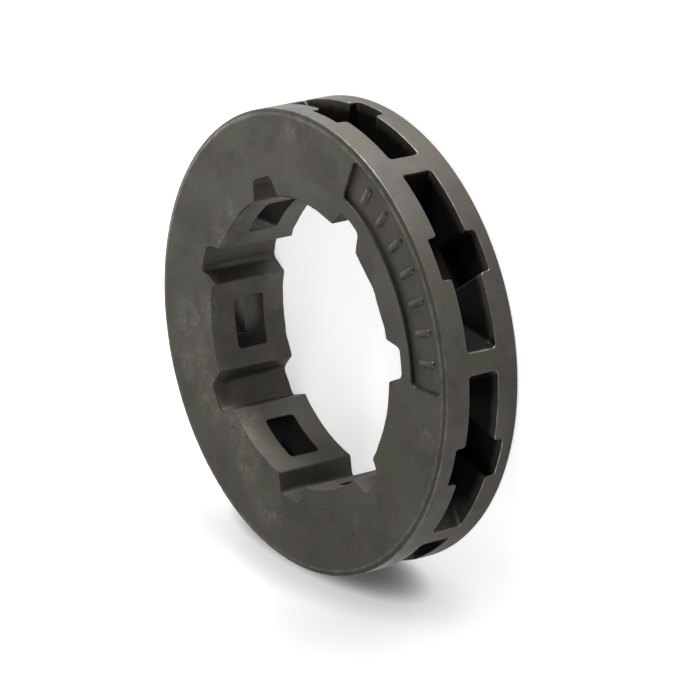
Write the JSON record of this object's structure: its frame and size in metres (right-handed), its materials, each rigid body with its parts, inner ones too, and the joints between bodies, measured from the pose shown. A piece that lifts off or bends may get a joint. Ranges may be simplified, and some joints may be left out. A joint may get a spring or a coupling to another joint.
{
  "type": "chainsaw rim sprocket",
  "caption": "Flat steel ring with a splined bore, and pockets and relief notches round its rim between two rails, that drives a saw chain.",
  "frame": {"origin": "middle of the back face, the face that the sprocket lies on", "axes": "+Z along the bore towards the face with the shallow recess, +X through the middle of that recess and of the pocket under it"},
  "size_m": [0.0304, 0.0304, 0.0058],
  "materials": {
    "cast_steel": "dark warm grey as-cast steel, satin, faintly mottled, with small scuffs and pits"
  },
  "bodies": {
    "root": {"rim_sprocket": "cast_steel"}
  },
  "joints": []
}
